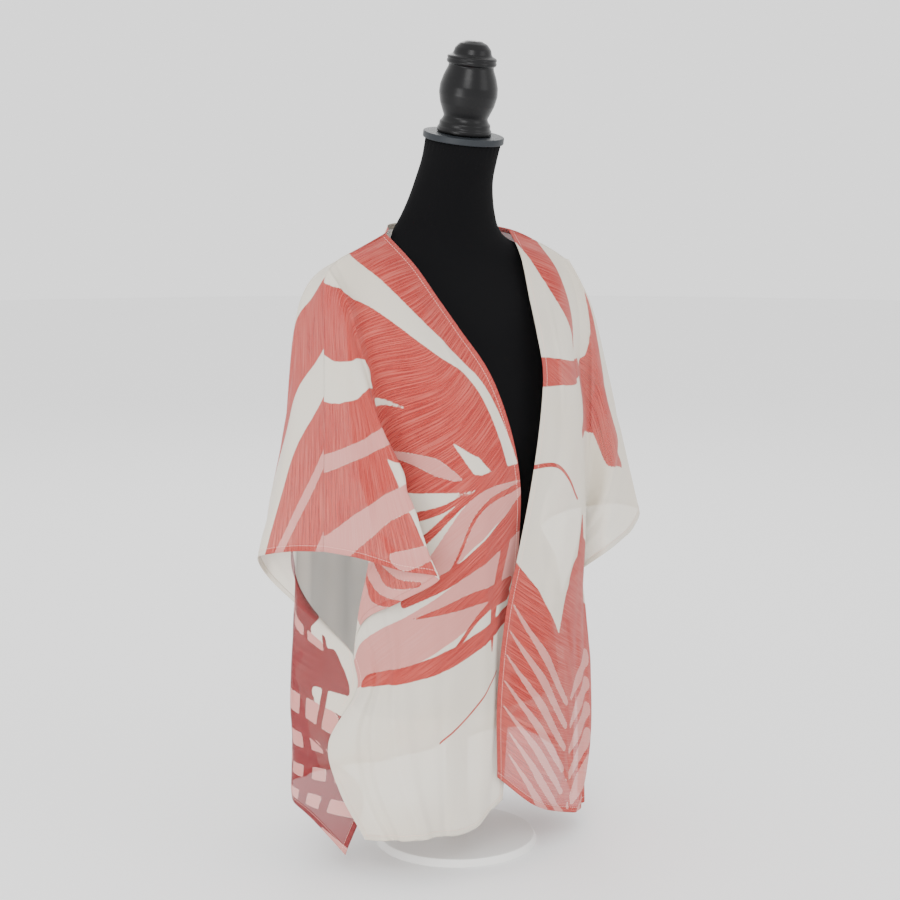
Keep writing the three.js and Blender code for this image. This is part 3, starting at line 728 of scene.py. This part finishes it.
def frontPanel(name, table, side, chart, node):
    # A sheer shell round the net, its leaves, its hems and their stitches. The side is -1 on the right.
    net, downGrid = panelNet(table, frontNames, side, cloth["frontFaces"], frontCreases, frontFine)
    x, y = chartPlace(net, downGrid, False)
    outwards = netNormals(net) * side
    net = shortened(net, cloth["seamGap"])
    panel = wallMesh(name, net, outwards, cloth["thickness"] / 2)
    dress(panel, x, y, None, [(np.ones(x.shape, bool), *chart)])
    keep(panel, clothMaterial, "cloth", node)
    edges = [("start", 0, 1, 0), ("bottom", 0, 1, 0), ("end", cloth["hemStart"], seamTop, 0),
             ("end", seamEnd, 1, 0)]
    return panel, hemEdges(name, net, outwards, x, y, None, edges, [chart]), net


def netArea(net):
    # Sum of the two triangles of every cell.
    a, b, c, d = net[:-1, :-1], net[1:, :-1], net[1:, 1:], net[:-1, 1:]
    first = np.linalg.norm(np.cross(b - a, c - a), axis=-1)
    second = np.linalg.norm(np.cross(c - a, d - a), axis=-1)
    return float((first + second).sum() / 2)


frontRight, rightTrims, rightNet = frontPanel("kimonoFrontRight", rightFront, -1, rightChart, "front_right")
frontLeft, leftTrims, leftNet = frontPanel("kimonoFrontLeft", leftFront, 1, leftChart, "front_left")
print("front panels", round(netArea(rightNet), 4), round(netArea(leftNet), 4), flush=True)


def backHalf(table, front, side):
    # Half of the back, from its middle outwards, with the shoulder line and the side seam of the front.
    shoulder = np.concatenate([tableArray(table, ["middle", "nape"], side)[0],
                               tableArray(front, frontNames, side)[0]])
    return panelNet(table, backNames, side, cloth["backFaces"], backCreases, backFine, front, shoulder)


halfRight, downHalf = backHalf(rightBack, rightFront, -1)
halfLeft, _ = backHalf(leftBack, leftFront, 1)
count = halfRight.shape[1]
backNet = joinBack(halfRight, halfLeft)
backDown = joinBack(downHalf, downHalf)
backX, backY = chartPlace(backNet, backDown, True, count - 1)
backOut = netNormals(backNet) * -1
back = wallMesh("kimonoBack", backNet, backOut, cloth["thickness"] / 2)
onRight = np.broadcast_to(np.arange(backNet.shape[1]) < count, backX.shape)
backMiddle = (backX + cloth["neckHalf"]) * np.where(onRight, -1, 1)
dress(back, backX, backY, backMiddle, [(onRight, *rightChart), (~onRight, *leftChart)])
keep(back, clothMaterial, "cloth", "back")
hemStart, neck = cloth["hemStart"], cloth["neckPart"]
sides = [("start", hemStart, seamTop, 0), ("start", seamEnd, 1, 0), ("end", hemStart, seamTop, 1),
         ("end", seamEnd, 1, 1), ("bottom", 0, 0.5, 0), ("bottom", 0.5, 1, 1),
         ("top", 0.5 - neck, 0.5, 0), ("top", 0.5, 0.5 + neck, 1)]
backTrims = hemEdges("kimonoBack", backNet, backOut, backX, backY, backMiddle, sides, [rightChart, leftChart])
print("back panel", round(netArea(backNet), 4), flush=True)


# Level sections of the form: height, half width, depth in front, depth behind and lean forwards, in
# millimetres, and slope.
formSections = [
    (150, 146, 84, 94, 0, 0),
    (156, 150, 88, 98, 0, 0),
    (195, 150, 90, 98, 0, 0),
    (250, 139, 86, 90, 0, 0),
    (300, 125, 79, 80, 0, 0),
    (345, 118, 77, 76, 0, 0),
    (395, 124, 88, 80, 0, 0),
    (445, 138, 106, 90, 0, 0),
    (490, 146, 112, 98, 0, 0),
    (540, 150, 100, 102, 0, 0),
    (590, 152, 80, 100, 0, 0),
    (635, 158, 62, 90, 0, 0),
    (672, 170, 44, 76, -2, 0),
    (692, 176, 34, 60, -5, 0),
    (704, 165, 28, 50, -6, 0),
    (714, 140, 26, 50, -7, 0),
    (724, 111, 30, 44, -12, 0),
    (734, 90, 36, 34, -18, 0),
    (748, 78, 44, 30, -24, 0),
    (765, 68, 44, 34, -20, 0),
    (784, 59, 44, 40, -14, 0),
    (808, 51, 44, 44, -6, 0.04),
    (835, 47, 45, 45, 5, 0.1),
    (856.7, 47, 46, 46, 12, 0.18),
]
formShape = {
    "sides": 144,
    "levels": 300,
    "gathers": 46,
    "gatherDepth": 0.0011,
    "gatherTop": 0.012,  # they fade over this height
    "neckRadius": 0.047,
}


def ringFaces(rows, sides):
    # Four-sided faces between rings, the fan under the first ring and the fan over the last one. The middles
    # of the two fans are the two vertices after the rings.
    ring = np.arange(sides)
    after = (ring + 1) % sides
    start = (np.arange(rows - 1) * sides)[:, None]
    quads = np.stack([start + ring, start + after, start + sides + after, start + sides + ring], -1)
    last = (rows - 1) * sides
    bottom = np.stack([np.full(sides, rows * sides), after, ring], -1)
    top = np.stack([np.full(sides, rows * sides + 1), last + ring, last + after], -1)
    return [quads.reshape(-1, 4), bottom, top]


def formMesh():
    # Rings through the sections, smooth in height. Each is an ellipse with its own depth in front and behind.
    table = np.array(formSections, float)
    heights = table[:, 0]
    level = np.linspace(heights[0], heights[-1], formShape["levels"])
    slopes = np.gradient(table[:, 1:], heights, axis=0)
    k = np.clip(np.searchsorted(heights, level, side="right") - 1, 0, len(heights) - 2)
    span = (heights[k + 1] - heights[k])[:, None]
    w = (level[:, None] - heights[k][:, None]) / span
    low, high = table[k, 1:], table[k + 1, 1:]
    shape = ((2 * w**3 - 3 * w**2 + 1) * low + (w**3 - 2 * w**2 + w) * span * slopes[k]
             + (-2 * w**3 + 3 * w**2) * high + (w**3 - w**2) * span * slopes[k + 1])
    angle = np.linspace(0, 2 * np.pi, formShape["sides"], endpoint=False)
    sine, cosine = np.sin(angle)[None], np.cos(angle)[None]
    half, front, behind, lean, tilt = [shape[:, j : j + 1] for j in range(5)]
    depth = np.where(sine > 0, behind, front) * sine
    points = np.stack([half * cosine, depth - lean, level[:, None] + tilt * depth + cloth["lift"]], -1) * mm
    # Gathers: shallow upright ripples, deepest just under the cap.
    below = (heights[-1] - level)[:, None] * mm
    ripple = np.cos(formShape["gathers"] * angle + 1.7 * np.sin(3 * angle) + 0.9 * np.sin(7 * angle))[None]
    fade = np.exp(-((below / formShape["gatherTop"]) ** 2))
    shrink = 1 - formShape["gatherDepth"] / formShape["neckRadius"] * (0.5 + 0.5 * ripple) * fade
    points[..., 0] *= shrink
    points[..., 1] = (points[..., 1] + lean * mm) * shrink - lean * mm
    ends = np.stack([points[0].mean(axis=0), points[-1].mean(axis=0)])
    faces = ringFaces(*points.shape[:2])
    smooth = np.repeat([True, False, False], [len(part) for part in faces])
    return addMesh("formBody", np.concatenate([points.reshape(-1, 3), ends]), faces, smooth)


def turned(name, outline, sides, foot=(0, 0, 0), lean=0.0, crisp=35):
    # Outline of radius and height, in millimetres, turned about the upright axis, leant and set on its foot.
    outline = np.array(outline, float)
    inner = outline[1:-1]
    angle = np.linspace(0, 2 * np.pi, sides, endpoint=False)
    rings = np.stack([inner[:, :1] * np.cos(angle), inner[:, :1] * np.sin(angle),
                      np.repeat(inner[:, 1:], sides, axis=1)], -1).reshape(-1, 3)
    points = np.concatenate([rings, [[0, 0, outline[0, 1]], [0, 0, outline[-1, 1]]]])
    tilted = points.copy()
    tilted[:, 1] = points[:, 1] * math.cos(lean) - points[:, 2] * math.sin(lean)
    tilted[:, 2] = points[:, 1] * math.sin(lean) + points[:, 2] * math.cos(lean)
    return addMesh(name, (tilted + np.array(foot)) * mm, ringFaces(len(inner), sides), crisp=crisp)


def rounded(corners, radius, steps=5):
    # Each inner corner of an outline replaced by a short arc that starts and ends the radius away from it.
    corners = np.array(corners, float)
    made = [corners[:1]]
    for before, corner, after in zip(corners[:-2], corners[1:-1], corners[2:]):
        reachIn = min(radius, np.linalg.norm(before - corner) * 0.45)
        reachOut = min(radius, np.linalg.norm(after - corner) * 0.45)
        start = corner + (before - corner) / np.linalg.norm(before - corner) * reachIn
        end = corner + (after - corner) / np.linalg.norm(after - corner) * reachOut
        t = np.linspace(0, 1, steps)[:, None]
        made.append((1 - t) ** 2 * start + 2 * t * (1 - t) * corner + t**2 * end)
    made.append(corners[-1:])
    return np.concatenate(made)


jersey = grain(plainMaterial("blackJersey", (0.003, 0.003, 0.0035), 0.9, Specular_IOR_Level=0.09),
               (900, 900, 1500), 0.35, 0.0004)
keep(formMesh(), jersey, "jersey", "form_torso")
print("form", flush=True)

head = {"y": -12, "z": 857 + cloth["lift"], "lean": math.atan(0.18), "capHigh": 8, "gap": 0.3}
capEdge = rounded([(0, 0), (50, 0), (50, 8), (40, 8), (0, 8)], 1.2)
cap = turned("neckCap", capEdge, 96, (0, head["y"], head["z"]), head["lean"])
capPaint = plainMaterial("satinCap", (0.012, 0.015, 0.019), 0.5, Specular_IOR_Level=0.3)
keep(cap, grain(capPaint, (260, 260, 260), 0.2, 0.0004), "cap", "neck_cap")

knobOutline = [
    (0, 0), (33.5, 0), (33.5, 6), (31.5, 8), (31.5, 13), (29, 15.5), (27, 20), (29.5, 26), (33.5, 36),
    (36, 48), (35.5, 58), (32.5, 69), (28, 80), (27.5, 83), (30, 84.5), (30.8, 87), (29.6, 89.2), (30.6, 91),
    (29.6, 93.4), (25.5, 95), (23.6, 97), (22, 103), (17, 109), (9, 112.4), (0, 113.2),
]
seat = head["capHigh"] + head["gap"]  # height of the knob's foot over the cap's, along the lean
knobFoot = (0, head["y"] - seat * math.sin(head["lean"]), head["z"] + seat * math.cos(head["lean"]))
knob = turned("turnedKnob", rounded(knobOutline, 1.6, 4), 96, knobFoot, head["lean"], 40)
gloss = plainMaterial("blackGloss", (0.003, 0.003, 0.0035), 0.3, Specular_IOR_Level=0.22)
keep(knob, grain(gloss, (60, 60, 60), 0.08, 0.0006), "knob", "knob")

paleStand = plainMaterial("paleStand", (0.78, 0.77, 0.75), 0.45)
pole = turned("standPole", [(0, 10.3), (14, 10.3), (14, 194.7), (0, 194.7)], 64)
keep(pole, paleStand, "stand", "pole")
base = turned("standBase", rounded([(0, 0), (105, 0), (103.4, 4), (101, 10), (90, 10), (0, 10)], 1.5), 128)
keep(base, paleStand, "stand", "base")
print("head and stand", flush=True)

# Floor, lights and camera
floor = turned("paleFloor", [(0, -6), (9000, -6), (9000, 0), (0, 0)], 96)
floor.data.materials.append(plainMaterial("paleFloor", (0.92, 0.92, 0.92), 0.9))
world = bpy.data.worlds.new("paleRoom")
world.use_nodes = True
world.node_tree.nodes["Background"].inputs["Color"].default_value = (1, 1, 1, 1)
world.node_tree.nodes["Background"].inputs["Strength"].default_value = 1.6
bpy.context.scene.world = world


def softLight(name, at, aim, size, power):
    # A round lamp that faces the aim: tipped by the angle from upright, then turned to its side.
    data = bpy.data.lights.new(name, "AREA")
    data.shape = "DISK"
    data.size = size
    data.energy = power
    lamp = addObject(name, data)
    lamp.location = at
    away = np.array(at) - np.array(aim)
    flat = math.hypot(away[0], away[1])
    lamp.rotation_euler = (math.atan2(flat, away[2]), 0, math.atan2(away[0], -away[1]))
    lamp.visible_camera = False  # else it would show through the sheer cloth


softLight("keyLight", (-2.4, -2.6, 2.6), (0, 0, 0.5), 1.8, 62)
softLight("fillLight", (1.6, -3.2, 1.8), (0, 0, 0.5), 2.0, 20)
softLight("cuffLight", (-2.6, -0.7, 0.3), (-0.2, 0, 0.4), 1.4, 34)
softLight("rimLight", (1.5, 2.4, 2.4), (0, 0, 0.6), 1.6, 22)

view = {"far": 2.425, "high": 0.902, "yaw": math.radians(38), "turn": math.radians(0.207)}
camera = addObject("photoCamera", bpy.data.cameras.new("photoCamera"))
camera.data.sensor_width = 36
camera.data.lens = 77.6
camera.location = (-view["far"] * math.sin(view["yaw"]), -view["far"] * math.cos(view["yaw"]), view["high"])
pitch = math.atan(310 / 1940)
camera.rotation_euler = (math.pi / 2 - pitch, 0, -view["yaw"] + view["turn"])
bpy.context.scene.camera = camera
